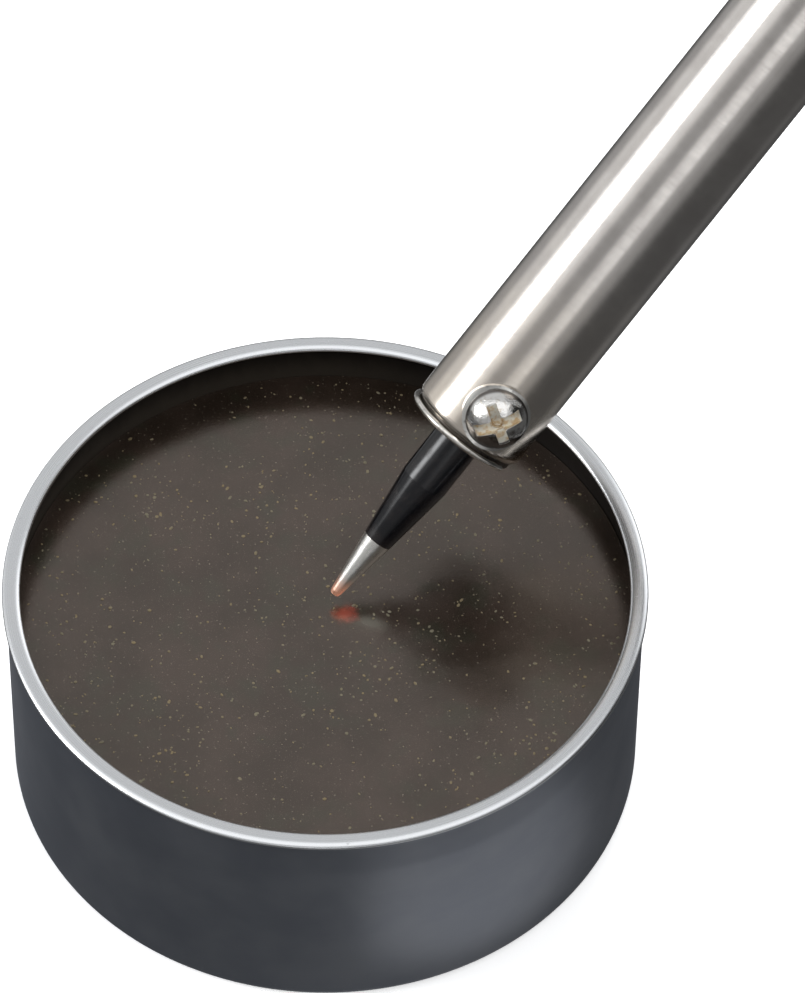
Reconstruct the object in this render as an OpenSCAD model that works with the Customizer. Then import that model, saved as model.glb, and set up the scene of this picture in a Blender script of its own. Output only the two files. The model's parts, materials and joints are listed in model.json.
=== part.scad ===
// Pencil soldering iron with its tip just above the compound in a round tin.
// The origin is the centre of the tin's flat base, the tin stands on the table and +Z is up.
// Parts of the iron are drawn along +Z, counted from the end of the tip ("station"),
// and iron_frame() leans them into place over the tin.

/* [Tin] */
// Diameter over the rolled bead
tin_d = 52; // [48:0.5:60]
// Height from the base to the top of the bead
tin_h = 21.3; // [20:0.1:26]
// Thickness of the drawn wall
tin_wall = 0.4; // [0.3:0.05:0.5]
// Half of the rolled bead's width
bead_r = 0.72; // [0.6:0.02:0.8]
// Half of the rolled bead's height
bead_h = 0.34; // [0.3:0.02:0.5]
// How far the compound lies below the top of the bead
compound_depth = 4.4; // [4.2:0.1:6]

/* [Pose of the iron] */
// Lean of the iron above the table, in degrees
iron_lean = 41.6; // [36:0.2:55]
// Heading of the iron in plan, from +X towards +Y, in degrees
iron_heading = 36.2; // [0:0.2:90]

/* [Tip] */
// Diameter of the shank
tip_d = 4; // [3.6:0.1:4.2]
// Length of the tinned working cone
tinned_len = 5.8; // [4:0.2:7]
// Station where the shank reaches its full diameter
shank_start = 12; // [11:0.2:14]
// Full length of the tip, most of it inside the heater
tip_len = 62; // [58:1:64]

/* [Barrel] */
// Outer diameter of the barrel tube
barrel_d = 9.9; // [9.7:0.1:10.2]
// Wall of the barrel tube
barrel_wall = 0.4; // [0.3:0.05:0.45]
// Station of the barrel's front edge
barrel_start = 17.8; // [17:0.1:18.2]
// Station of the barrel's rear end, inside the handle
barrel_end = 92; // [91:0.5:94]

/* [Tip screw] */
// Diameter of the screw's shank
screw_d = 2.5; // [2.3:0.1:2.6]
// Diameter of the domed head
screw_head_d = 5; // [4.6:0.1:5.2]
// Position of the screw around the barrel, in degrees
screw_turn = 226; // [200:1:240]
// Station of the screw's axis
screw_station = 20.9; // [20.8:0.1:22]

/* [Handle] */
// Station of the handle's front face
handle_start = 88; // [88:0.5:89]
// Diameter of the handle's cavity
cavity_d = 12.4; // [12.2:0.1:12.8]
// Diameter over the soft grip
grip_d = 18.8; // [18:0.2:20]
// Diameter of the hole for the cord
cord_hole_d = 5.2; // [5:0.1:5.6]

/* [Hidden] */
$fn = 96;
slop = 0.01;

// Tin
bead_x = tin_d / 2 - bead_r;
bead_z = tin_h - bead_h;
wall_r = tin_d / 2 - 0.3;
neck_r = wall_r - 0.2;
neck_z = bead_z - 1.2;
base_corner = 1;
compound_z = tin_h - compound_depth;

// Tip
tip_point = [0.7, 1.33, compound_z + 1.25];
point_r = 0.48;
tinned_r = 1.24;
tip_r = tip_d / 2;
tip_play = 0.07;
tip_travel = 8;

// Nose of the barrel
barrel_r = barrel_d / 2;
bore_r = barrel_r - barrel_wall;
ring_wire_r = 0.27;
ring_station = barrel_start - 0.18 - ring_wire_r;
ring_opening = [268, 336];
collar_r = barrel_r - 0.46;
barrel_lip = [0.28, 0.7];
nose_start = ring_station - ring_wire_r + 0.1;
plug_end = 25.5;
screw_r = screw_d / 2;
thread_play = 0.05;
washer_t = 0.42;
washer_r = 2.75;
screw_seat = barrel_r + washer_t + 0.02;
screw_head_h = 1.75;
slot_turn = -34;

// Heater, from the inside out
heater_r = tip_r + 0.4;
heater_bore_r = tip_r + 0.1;
heater_start = plug_end + 0.1;
heater_end = 72.4;
mica_r = heater_r + 0.27;
mica_span = [28, 68];
coil_wire_r = 0.2;
coil_r = mica_r + coil_wire_r + 0.08;
coil_turns = 12;
coil_span = [30, 66];
sleeve_r = 4.3;
sleeve_bore_r = 3.45;
disc_start = heater_end + 0.2;
disc_t = 2;
lead_x = 3;
lead_r = 0.3;
lead_span = [67, 114];
bead_pitch = 5;
bead_count = 6;
bead_len = 4.6;

// Rear flange and guard
flange_plate_t = 1;
flange_plate_r = 8.6;
flange_screw_radius = 7.1;
flange_collar_r = barrel_r + 0.5;
guard_start = handle_start - 8;
guard_r = 11.4;
guard_recess_r = 8.8;
guard_skirt = 3;

// Handle
cavity_r = cavity_d / 2;
front_wall = 8;
handle_lip_r = 9.9;
grip_span = [handle_start + 12, handle_start + 52];
grip_seat_r = 8.3;
grip_r = grip_d / 2;
grip_ribs = 10;
handle_end = 168;
cap_end = 180;
cap_plug_len = 8;
cap_screw_station = handle_end - 4;
block_start = 108;
block = [10.8, 6, 10];
block_screw_stations = [block_start + 2.5, block_start + 7.5];
clamp_station = 152;
clamp_len = 4;
clamp_screw_x = 3.4;
cord_hole_r = cord_hole_d / 2;

// Places a part of the iron, drawn along +Z from the end of the tip
module iron_frame() {
    translate(tip_point) rotate([0, 90 - iron_lean, iron_heading]) children();
}

// Places a part of the tip screw, drawn along +Z from the iron's axis outwards
module screw_frame() {
    iron_frame() translate([0, 0, screw_station]) rotate([0, 0, screw_turn]) rotate([0, 90, 0]) children();
}

// A round bar between two stations
module bar(r, from, to) {
    translate([0, 0, from]) cylinder(r = r, h = to - from);
}

// A tube between two stations
module tube(r, bore, from, to) {
    difference() {
        bar(r, from, to);
        bar(bore, from - slop, to + slop);
    }
}

// Copies a part to three places around the iron's axis
module three_round(radius) {
    for (turn = [90, 210, 330]) rotate([0, 0, turn]) translate([radius, 0, 0]) children();
}

// A domed screw head with a straight slot, its underside at z = 0
module slotted_head(r, h) {
    difference() {
        intersection() {
            cylinder(r = r, h = h, $fn = 48);
            translate([0, 0, h - 1.6 * r]) sphere(r = 1.6 * r, $fn = 48);
        }
        translate([-r - 1, -0.2 * r, 0.55 * h]) cube([2 * r + 2, 0.4 * r, h]);
    }
}

module tin_can() {
    color("lightslategray") rotate_extrude($fn = 180) {
        square([wall_r - base_corner, tin_wall]);
        polygon([[wall_r - tin_wall, base_corner], [wall_r, base_corner], [wall_r, neck_z - 1],
                 [neck_r, neck_z], [neck_r, bead_z], [neck_r - tin_wall, bead_z],
                 [neck_r - tin_wall, neck_z], [wall_r - tin_wall, neck_z - 1]]);
        intersection() {
            translate([wall_r - base_corner, base_corner]) difference() {
                circle(r = base_corner, $fn = 64);
                circle(r = base_corner - tin_wall, $fn = 64);
            }
            translate([wall_r - base_corner, 0]) square(base_corner);
        }
        for (side = [-1, 1])
            translate([bead_x + side * (bead_r - bead_h), bead_z]) circle(r = bead_h, $fn = 64);
        translate([bead_x - bead_r + bead_h, bead_z - bead_h]) square([2 * (bead_r - bead_h), 2 * bead_h]);
    }
}

module tinning_compound() {
    cake_r = wall_r - tin_wall - 0.05;
    floor_z = tin_wall + 0.02;
    corner = base_corner + 0.1;
    color("#4f4741") rotate_extrude($fn = 180)
        polygon([[0, floor_z], [cake_r - corner, floor_z], [cake_r, floor_z + corner],
                 [cake_r, compound_z], [0, compound_z]]);
}

module tip() {
    color("#22242a") iron_frame() rotate_extrude()
        polygon([[0, 0], [0.6 * point_r, 0.04], [0.9 * point_r, 0.16], [point_r, 0.36],
                 [tinned_r, tinned_len], [tip_r, shank_start], [tip_r, tip_len - 0.3],
                 [tip_r - 0.3, tip_len], [0, tip_len]]);
}

module nose_plug() {
    color("silver") difference() {
        iron_frame() difference() {
            union() {
                bar(collar_r, nose_start, barrel_start + 1);
                bar(bore_r - 0.05, barrel_start + 0.1, plug_end);
            }
            bar(tip_r + tip_play, nose_start - 1, plug_end + 1);
        }
        screw_frame() cylinder(r = screw_r + thread_play, h = barrel_r + 1);
    }
}

// Open snap ring around the plug's collar, in front of the barrel
module nose_ring() {
    color("gainsboro") iron_frame() translate([0, 0, ring_station]) rotate([0, 0, ring_opening[1]])
        rotate_extrude(angle = 360 - ring_opening[1] + ring_opening[0])
            translate([collar_r + 0.03 + ring_wire_r, 0]) circle(r = ring_wire_r, $fn = 48);
}

module barrel() {
    vents = 6;
    vent_r = 0.9;
    color("gainsboro") difference() {
        iron_frame() rotate_extrude()
            polygon(concat([[bore_r, barrel_end], [bore_r, barrel_start]],
                           [for (turn = [0 : 15 : 90])
                                [barrel_r - barrel_lip[0] * (1 - sin(turn)),
                                 barrel_start + barrel_lip[1] * (1 - cos(turn))]],
                           [[barrel_r, barrel_end]]));
        screw_frame() cylinder(r = screw_r + 0.45, h = barrel_r + 1);
        iron_frame() for (row = [0, 1], i = [0 : vents - 1])
            translate([0, 0, guard_start - 9 + 4.5 * row]) rotate([0, 0, (i + row / 2) * 360 / vents])
                rotate([0, 90, 0]) cylinder(r = vent_r, h = barrel_r + 1, $fn = 32);
    }
}

module tip_screw() {
    end_chamfer = 0.25;
    arm = 0.42 * screw_r;
    color("silver") screw_frame() {
        difference() {
            union() {
                translate([0, 0, tip_r + 0.05 + end_chamfer])
                    cylinder(r = screw_r, h = screw_seat - tip_r - 0.05 - end_chamfer);
                translate([0, 0, tip_r + 0.05])
                    cylinder(r1 = screw_r - end_chamfer, r2 = screw_r, h = end_chamfer);
                translate([0, 0, screw_seat]) intersection() {
                    cylinder(d = screw_head_d, h = screw_head_h);
                    translate([0, 0, screw_head_h - 2.9]) sphere(r = 2.9);
                }
            }
            rotate([0, 0, slot_turn]) translate([0, 0, screw_seat + 0.62 * screw_head_h]) {
                translate([-screw_head_d, -arm, 0]) cube([2 * screw_head_d, 2 * arm, 2]);
                translate([-arm, -screw_head_d, 0]) cube([2 * arm, 2 * screw_head_d, 2]);
            }
            translate([0, 0, screw_seat + 0.25 * screw_head_h])
                cylinder(r1 = 0.35, r2 = 1.15, h = 0.75 * screw_head_h + slop, $fn = 48);
        }
    }
}

module screw_washer() {
    color("lightgray") difference() {
        intersection() {
            screw_frame() cylinder(r = washer_r, h = barrel_r + 2);
            iron_frame() bar(barrel_r + washer_t, screw_station - 4, screw_station + 4);
        }
        iron_frame() bar(barrel_r + 0.02, screw_station - 5, screw_station + 5);
        screw_frame() cylinder(r = screw_r + 0.06, h = barrel_r + 3);
    }
}

module heater_tube() {
    color("silver") iron_frame() difference() {
        bar(heater_r, heater_start, heater_end);
        bar(heater_bore_r, heater_start - 1, tip_len + tip_travel + 1);
    }
}

module mica_wrap() {
    color("tan") iron_frame() tube(mica_r, heater_r + 0.02, mica_span[0], mica_span[1]);
}

// Point of the winding's wire surface at a share of its length and an angle round the wire
function coil_point(share, round) =
    let (turn = share * coil_turns * 360, reach = coil_r + coil_wire_r * cos(round))
    [reach * cos(turn), reach * sin(turn),
     coil_span[0] + share * (coil_span[1] - coil_span[0]) + coil_wire_r * sin(round)];

module heating_coil() {
    sides = 6;
    rings = coil_turns * 16;
    points = [for (i = [0 : rings], k = [0 : sides - 1]) coil_point(i / rings, k * 360 / sides)];
    skin = [for (i = [0 : rings - 1], k = [0 : sides - 1])
                [i * sides + k, i * sides + (k + 1) % sides,
                 (i + 1) * sides + (k + 1) % sides, (i + 1) * sides + k]];
    near = [for (k = [0 : sides - 1]) sides - 1 - k];
    far = [for (k = [0 : sides - 1]) rings * sides + k];
    color("dimgray") iron_frame() polyhedron(points, concat(skin, [near, far]), convexity = 10);
}

module ceramic_sleeve() {
    color("white") iron_frame() tube(sleeve_r, sleeve_bore_r, heater_start + 1, mica_span[1] + 2);
}

module rear_disc() {
    color("white") iron_frame() difference() {
        bar(bore_r - 0.15, disc_start, disc_start + disc_t);
        for (side = [-1, 1]) translate([side * lead_x, 0, 0])
            bar(lead_r + 0.1, disc_start - 1, disc_start + disc_t + 1);
    }
}

module lead_wires() {
    color("silver") iron_frame() for (side = [-1, 1]) translate([side * lead_x, 0, 0])
        bar(lead_r, lead_span[0], lead_span[1]);
}

module lead_beads() {
    first = disc_start + disc_t + 0.2;
    color("ivory") iron_frame() for (side = [-1, 1], i = [0 : bead_count - 1])
        translate([side * lead_x, 0, 0])
            tube(0.95, lead_r + 0.08, first + i * bead_pitch, first + i * bead_pitch + bead_len);
}

module mounting_flange() {
    back = handle_start;
    color("silver") iron_frame() difference() {
        union() {
            bar(flange_plate_r, back - flange_plate_t, back);
            bar(flange_collar_r, back - 3.5, back - flange_plate_t + slop);
        }
        bar(barrel_r + 0.02, back - 4, back + 1);
        three_round(flange_screw_radius) bar(1.1, back - 2, back + 1);
    }
}

module flange_screws() {
    seat = handle_start - flange_plate_t;
    color("silver") iron_frame() three_round(flange_screw_radius) {
        translate([0, 0, seat]) mirror([0, 0, 1]) slotted_head(1.5, 1.2);
        bar(1, seat, handle_start + 6);
    }
}

module heat_guard() {
    color("#26262a") iron_frame() difference() {
        rotate_extrude()
            polygon([[barrel_r + 0.05, guard_start], [6.6, guard_start], [7.1, guard_start + 0.5],
                     [guard_r - 0.5, guard_start + 6], [guard_r, guard_start + 6.7],
                     [guard_r, handle_start + guard_skirt - 0.4],
                     [guard_r - 0.4, handle_start + guard_skirt],
                     [handle_lip_r + 0.05, handle_start + guard_skirt],
                     [handle_lip_r + 0.05, handle_start - 0.02], [barrel_r + 0.05, handle_start - 0.02]]);
        bar(guard_recess_r, handle_start - 3.7, handle_start + 1);
    }
}

module handle_shell() {
    grip_lip = grip_seat_r + 0.6;
    color("#2e3036") iron_frame() difference() {
        rotate_extrude()
            polygon([[0, handle_start], [handle_lip_r - 0.4, handle_start],
                     [handle_lip_r, handle_start + 0.5], [handle_lip_r, handle_start + 3.2],
                     [9.3, handle_start + 6], [9, grip_span[0] - 0.8],
                     [grip_lip, grip_span[0]], [grip_seat_r, grip_span[0]],
                     [grip_seat_r, grip_span[1]], [grip_lip, grip_span[1]],
                     [9, grip_span[1] + 1], [8.7, grip_span[1] + 8], [8.4, grip_span[1] + 15],
                     [8.1, handle_end - 6], [8, handle_end], [0, handle_end]]);
        bar(cavity_r, handle_start + front_wall, handle_end + 1);
        bar(barrel_r + 0.1, handle_start - 1, handle_start + front_wall + 1);
        three_round(flange_screw_radius) bar(1.02, handle_start - 1, handle_start + 6.3);
        cap_screw_hole(1.05);
    }
}

// The radial hole and countersink that the cap's screw passes through
module cap_screw_hole(r) {
    translate([0, 0, cap_screw_station]) rotate([-90, 0, 0]) {
        cylinder(r = r, h = 10, $fn = 48);
        translate([0, 0, 6.9]) cylinder(r1 = r, r2 = 2.6, h = 1.6, $fn = 48);
    }
}

module grip_sleeve() {
    pitch = (grip_span[1] - grip_span[0] - 4) / grip_ribs;
    first = grip_span[0] + 2;
    color("#1d1e21") iron_frame() rotate_extrude()
        polygon(concat(
            [[grip_seat_r + 0.02, grip_span[0] + 0.05], [grip_r - 0.6, grip_span[0] + 0.05],
             [grip_r - 0.1, grip_span[0] + 0.6]],
            [for (i = [0 : grip_ribs - 1], p = [[0, 0.3], [0, 0.62], [-0.45, 0.72], [-0.45, 0.9], [0, 1]])
                [grip_r + p[0], first + (i + p[1]) * pitch]],
            [[grip_r - 0.1, grip_span[1] - 0.6], [grip_r - 0.6, grip_span[1] - 0.05],
             [grip_seat_r + 0.02, grip_span[1] - 0.05]]));
}

module terminal_block() {
    color("ivory") iron_frame() difference() {
        translate([-block[0] / 2, -block[1] / 2, block_start]) cube(block);
        for (side = [-1, 1]) translate([side * lead_x, 0, 0]) {
            bar(0.8, block_start - 1, block_start + block[2] + 1);
            for (station = block_screw_stations)
                translate([0, 0, station]) rotate([-90, 0, 0]) cylinder(r = 0.78, h = 4, $fn = 32);
        }
    }
}

module terminal_screws() {
    color("goldenrod") iron_frame() for (side = [-1, 1], station = block_screw_stations)
        translate([side * lead_x, lead_r + 0.05, station]) rotate([-90, 0, 0]) difference() {
            cylinder(r = 0.72, h = 2.6, $fn = 32);
            translate([-1, -0.13, 2.1]) cube([2, 0.26, 1]);
        }
}

module rear_cap() {
    plug_start = handle_end - cap_plug_len;
    color("#26262a") iron_frame() difference() {
        union() {
            bar(cavity_r - 0.05, plug_start, handle_end + slop);
            rotate_extrude()
                polygon([[0, handle_end], [8, handle_end], [7.9, handle_end + 4],
                         [7.5, handle_end + 7.5], [6.8, handle_end + 10], [6, handle_end + 11.6],
                         [5.4, cap_end], [0, cap_end]]);
            intersection() {
                bar(cavity_r - 0.3, clamp_station - 4, plug_start + slop);
                translate([-4.2, -cavity_r, clamp_station - 4]) cube([8.4, cavity_r - 2.2, 20]);
            }
        }
        bar(3.4, plug_start - slop, cap_end + 1);
        translate([0, 0, cap_screw_station]) rotate([-90, 0, 0]) cylinder(r = 1.02, h = 9, $fn = 48);
        for (side = [-1, 1]) translate([side * clamp_screw_x, 0, clamp_station + clamp_len / 2])
            rotate([90, 0, 0]) cylinder(r = 0.72, h = 7, $fn = 32);
    }
}

module cap_screw() {
    color("silver") iron_frame() translate([0, 0, cap_screw_station]) rotate([-90, 0, 0]) {
        translate([0, 0, 4]) cylinder(r = 0.98, h = 2.95, $fn = 48);
        difference() {
            translate([0, 0, 6.9]) cylinder(r1 = 0.98, r2 = 1.95, h = 0.95, $fn = 48);
            translate([-3, -0.22, 7.4]) cube([6, 0.44, 1]);
            translate([-0.22, -3, 7.4]) cube([0.44, 6, 1]);
        }
    }
}

module cord_clamp() {
    color("ivory") iron_frame() difference() {
        translate([-4.5, 2, clamp_station]) cube([9, 1.2, clamp_len]);
        bar(2.3, clamp_station - 1, clamp_station + clamp_len + 1);
        for (side = [-1, 1]) translate([side * clamp_screw_x, 0, clamp_station + clamp_len / 2])
            rotate([-90, 0, 0]) cylinder(r = 0.78, h = 7, $fn = 32);
    }
}

module clamp_screws() {
    color("silver") iron_frame() for (side = [-1, 1])
        translate([side * clamp_screw_x, 0, clamp_station + clamp_len / 2]) rotate([-90, 0, 0]) {
            translate([0, 0, 3.22]) slotted_head(1.1, 0.8);
            translate([0, 0, -4.4]) cylinder(r = 0.7, h = 7.63, $fn = 32);
        }
}

module cord_bush() {
    color("#1d1e21") iron_frame() difference() {
        union() {
            bar(3.38, handle_end + 2, cap_end + 1);
            bar(4.6, cap_end + 0.02, cap_end + 1.5);
        }
        bar(cord_hole_r, handle_end, cap_end + 3);
    }
}

tin_can();
tinning_compound();
tip();
nose_plug();
nose_ring();
barrel();
tip_screw();
screw_washer();
heater_tube();
mica_wrap();
heating_coil();
ceramic_sleeve();
rear_disc();
lead_wires();
lead_beads();
mounting_flange();
flange_screws();
heat_guard();
handle_shell();
grip_sleeve();
terminal_block();
terminal_screws();
rear_cap();
cap_screw();
cord_clamp();
clamp_screws();
cord_bush();
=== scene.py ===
# %% [markdown]
# # A soldering iron on its tin of tinning compound
# The iron leans over a round aluminium tin with its hot tip just above a hard cake of compound. The working
# model, with its bodies and joints, is already there. This lesson gives it its looks: it keeps the machined
# inner parts as they are, makes finer versions of the parts one sees, and paints all of them with
# procedural materials. Everything is in metres, and lengths are given in millimetres times MM.

# %% Load the working model
import json
import math
import random

import bmesh
import bpy
from mathutils import Matrix, Vector, noise


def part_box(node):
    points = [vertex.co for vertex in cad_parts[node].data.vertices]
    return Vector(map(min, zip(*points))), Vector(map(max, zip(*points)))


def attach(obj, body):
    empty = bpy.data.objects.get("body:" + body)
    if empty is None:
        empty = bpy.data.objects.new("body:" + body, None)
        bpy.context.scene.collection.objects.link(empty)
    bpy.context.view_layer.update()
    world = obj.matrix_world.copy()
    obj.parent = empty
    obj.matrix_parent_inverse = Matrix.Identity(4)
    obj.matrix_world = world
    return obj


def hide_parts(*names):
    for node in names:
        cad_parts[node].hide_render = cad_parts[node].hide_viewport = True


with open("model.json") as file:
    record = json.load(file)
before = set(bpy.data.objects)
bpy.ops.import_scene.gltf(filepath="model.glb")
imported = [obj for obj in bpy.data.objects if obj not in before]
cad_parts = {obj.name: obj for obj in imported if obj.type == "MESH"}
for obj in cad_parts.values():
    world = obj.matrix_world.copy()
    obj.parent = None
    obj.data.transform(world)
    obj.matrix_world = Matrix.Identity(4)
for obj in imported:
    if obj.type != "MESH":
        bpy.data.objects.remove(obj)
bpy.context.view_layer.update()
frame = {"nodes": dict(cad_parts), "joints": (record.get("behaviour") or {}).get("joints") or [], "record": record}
MM = 0.001
record = frame["record"]
joints = {joint["name"]: joint for joint in frame["joints"]}

# %% [markdown]
# ## Two frames to work in
# The tin stands upright on the table, but the iron leans. A turned part is easiest to draw upright, along
# its own axis, so the iron gets a frame of its own: its origin is the end of the tip and its Z runs up the
# barrel. The direction comes from the joint that lifts the iron, and the origin from the cord inlet, whose
# distance from the tip is known. The tip screw gets a third frame, with Z pointing out of the barrel.

# %% The iron's frame and the screw's frame
INLET_STATION = 175.75


def upright_frame(origin, z_axis):
    """A frame at origin with that Z axis, whose Y axis is level."""
    z_axis = z_axis.normalized()
    y_axis = Vector((0, 0, 1)).cross(z_axis).normalized()
    x_axis = y_axis.cross(z_axis)
    turned = Matrix((x_axis, y_axis, z_axis)).transposed().to_4x4()
    return Matrix.Translation(origin) @ turned


inlet = next(mount for mount in record["mounts"] if mount["name"] == "cord_inlet")
iron_axis = Vector(joints["iron_lift"]["axis"])
tip_end = Vector(inlet["pos_m"]) - iron_axis * INLET_STATION * MM
IRON = upright_frame(tip_end, iron_axis)
screw_axis = Vector(joints["screw_turn"]["axis"])
SCREW = upright_frame(Vector(joints["screw_turn"]["pos_m"]), screw_axis)
print("tip end, mm:", [round(x / MM, 2) for x in tip_end])

# %% [markdown]
# ## Camera, floor and studio
# The camera looks down at the tin from far away through a long lens, so that the rim stays a true ellipse.
# It aims a little to the right of and above the middle of the rim. The floor is a large pale sheet. A real
# studio would hang a black card under the set to keep the white floor out of polished metal, and the floor
# does the same here by not showing in reflections.

# %% Camera
CAMERA_HEIGHT_ANGLE = math.radians(52.31)
CAMERA_DISTANCE_IN_RADII = 20
AIM_RIGHT = math.tan(math.radians(0.684))
AIM_UP = math.tan(math.radians(0.822))
LENS = 234.16

tin_low, tin_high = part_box("tin_can")
TIN_R = (tin_high.x - tin_low.x) / 2
RIM_CENTRE = Vector((0, 0, tin_high.z - 0.8 * MM))


def aim_camera():
    """The camera, square on to the rim's centre and then turned a little to the right and up."""
    forward = Vector((0, math.cos(CAMERA_HEIGHT_ANGLE), -math.sin(CAMERA_HEIGHT_ANGLE)))
    right = Vector((1, 0, 0))
    up = right.cross(forward)
    square = Matrix((right, up, -forward)).transposed().to_quaternion()
    aimed = forward + right * AIM_RIGHT + up * AIM_UP
    turn = forward.rotation_difference(aimed)
    data = bpy.data.cameras.new("camera")
    data.lens = LENS
    data.clip_start = 0.01
    data.clip_end = 50
    camera = bpy.data.objects.new("camera", data)
    bpy.context.scene.collection.objects.link(camera)
    camera.location = RIM_CENTRE - forward * CAMERA_DISTANCE_IN_RADII * TIN_R
    camera.rotation_mode = "QUATERNION"
    camera.rotation_quaternion = turn @ square
    bpy.context.scene.camera = camera
    return camera


camera = aim_camera()
print("camera at, mm:", [round(x / MM) for x in camera.location])

# %% [markdown]
# ## Shader maths in plain Python
# A procedural material is a small formula for each surface point. Wiring such formulas by hand is slow, so
# a Wire wraps one socket and lets Python's own operators add the Math nodes. Any other node comes from
# Sheet.node, which sets the node's own settings first and then its inputs, given as values or as Wires.

# %% Wires and sheets


class Wire:
    """One socket of a shader, which + - * / and the comparison helpers work on."""

    def __init__(self, sheet, socket):
        self.sheet = sheet
        self.socket = socket

    def __add__(self, other):
        return self.sheet.maths("ADD", self, other)

    def __radd__(self, other):
        return self.sheet.maths("ADD", other, self)

    def __sub__(self, other):
        return self.sheet.maths("SUBTRACT", self, other)

    def __rsub__(self, other):
        return self.sheet.maths("SUBTRACT", other, self)

    def __mul__(self, other):
        return self.sheet.maths("MULTIPLY", self, other)

    def __rmul__(self, other):
        return self.sheet.maths("MULTIPLY", other, self)

    def __truediv__(self, other):
        return self.sheet.maths("DIVIDE", self, other)

    def step(self, low, high):
        """0 below low, 1 above high and a smooth ramp between. With low above high it falls instead."""
        settings = {"interpolation_type": "SMOOTHSTEP"}
        inputs = {"Value": self, "From Min": low, "From Max": high}
        return self.sheet.node("ShaderNodeMapRange", settings, inputs)


class Sheet:
    """The node tree of a material or of the world, with short ways to add to it."""

    def __init__(self, owner):
        owner.use_nodes = True
        self.tree = owner.node_tree
        self.tree.nodes.clear()

    def put(self, socket, value):
        """Links a Wire to a socket, or sets a plain value on it."""
        if isinstance(value, Wire):
            self.tree.links.new(value.socket, socket)
        elif isinstance(value, (tuple, list, Vector)) and len(value) == 3 and socket.type == "RGBA":
            socket.default_value = (*value, 1)
        else:
            socket.default_value = value

    def node(self, kind, settings=None, inputs=None, output=0):
        """Adds a node: its settings first, then its inputs by name or number. Returns one output."""
        made = self.tree.nodes.new(kind)
        for name, value in (settings or {}).items():
            setattr(made, name, value)
        for key, value in (inputs or {}).items():
            self.put(made.inputs[key], value)
        return Wire(self, made.outputs[output])

    def maths(self, operation, *values):
        return self.node("ShaderNodeMath", {"operation": operation}, dict(enumerate(values)))

    def vector(self, operation, *values, output=0):
        return self.node("ShaderNodeVectorMath", {"operation": operation}, dict(enumerate(values)), output)

    def mix(self, first, second, factor):
        """A colour that goes from first to second as factor goes from 0 to 1."""
        made = self.tree.nodes.new("ShaderNodeMix")
        made.data_type = "RGBA"
        self.put(made.inputs[0], factor)
        self.put(made.inputs[6], first)
        self.put(made.inputs[7], second)
        return Wire(self, made.outputs[2])

    def place(self):
        """The point's own place in the model, in millimetres."""
        point = self.node("ShaderNodeTexCoord", output=3)
        return self.vector("MULTIPLY", point, (1 / MM,) * 3)

    def within(self, frame_matrix):
        """The point's x, y and z in another frame, in millimetres."""
        offset = self.vector("SUBTRACT", self.place(), frame_matrix.translation / MM)
        axes = frame_matrix.to_3x3().transposed()
        return [self.vector("DOT_PRODUCT", offset, tuple(axis), output=1) for axis in axes]

    def join(self, x, y, z):
        return self.node("ShaderNodeCombineXYZ", inputs={0: x, 1: y, 2: z})

    def noise(self, at, scale, detail, roughness):
        inputs = {"Vector": at, "Scale": scale, "Detail": detail, "Roughness": roughness}
        return self.node("ShaderNodeTexNoise", inputs=inputs)

    def bump(self, height, distance_mm):
        inputs = {"Height": height, "Distance": distance_mm * MM, "Strength": 1.0}
        return self.node("ShaderNodeBump", inputs=inputs)

    def surface(self, **inputs):
        """Ends the sheet in a Principled shader. Underscores in a name stand for spaces."""
        shader = self.tree.nodes.new("ShaderNodeBsdfPrincipled")
        for name, value in inputs.items():
            self.put(shader.inputs[name.replace("_", " ")], value)
        output = self.tree.nodes.new("ShaderNodeOutputMaterial")
        self.tree.links.new(shader.outputs[0], output.inputs[0])


def new_sheet(name):
    """An empty material and its sheet."""
    material = bpy.data.materials.new(name)
    return material, Sheet(material)


print("shader helpers ready")

# %% [markdown]
# ## The light
# Polished metal shows its surroundings, so here the surroundings are most of the look. The world is a grey
# room with soft bright panels: a wide one overhead, a strong one on the left, which makes the broad highlight
# along the barrel, faint ones low on the left, a narrow one behind the camera for the second highlight, and
# one at the back right for the rim. A black card on the right darkens the far side of the barrel. Below the
# horizon the room is dark, with one faint glow. What the camera sees directly is plain. Two lamps add soft
# light without showing in the metal, and a faint upturned card beside the tin does the opposite: it is there
# for the broad highlight that the tin's wall reflects.

# %% The room and its light panels


def heading(azimuth, elevation):
    """A direction by its azimuth in degrees, from +Y towards +X, and its elevation."""
    across, up = math.radians(azimuth), math.radians(elevation)
    return Vector((math.sin(across) * math.cos(up), math.cos(across) * math.cos(up), math.sin(up)))


def light_panel(sheet, direction, azimuth, elevation, tilt, half_width, half_height, soft):
    """1 for directions that meet the panel, 0 for the rest, with soft edges. Angles are in degrees."""
    centre = heading(azimuth, elevation)
    right = Matrix.Rotation(math.radians(tilt), 3, centre) @ centre.cross(Vector((0, 0, 1))).normalized()
    up = right.cross(centre)
    mask = sheet.vector("DOT_PRODUCT", direction, tuple(centre), output=1).step(0, 0.1)
    for axis, half in ((right, half_width), (up, half_height)):
        reach = sheet.maths("ABSOLUTE", sheet.vector("DOT_PRODUCT", direction, tuple(axis), output=1))
        edge = math.sin(math.radians(half))
        blur = math.sin(math.radians(soft))
        mask = mask * reach.step(edge + blur, max(edge - blur, 0))
    return mask


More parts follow.
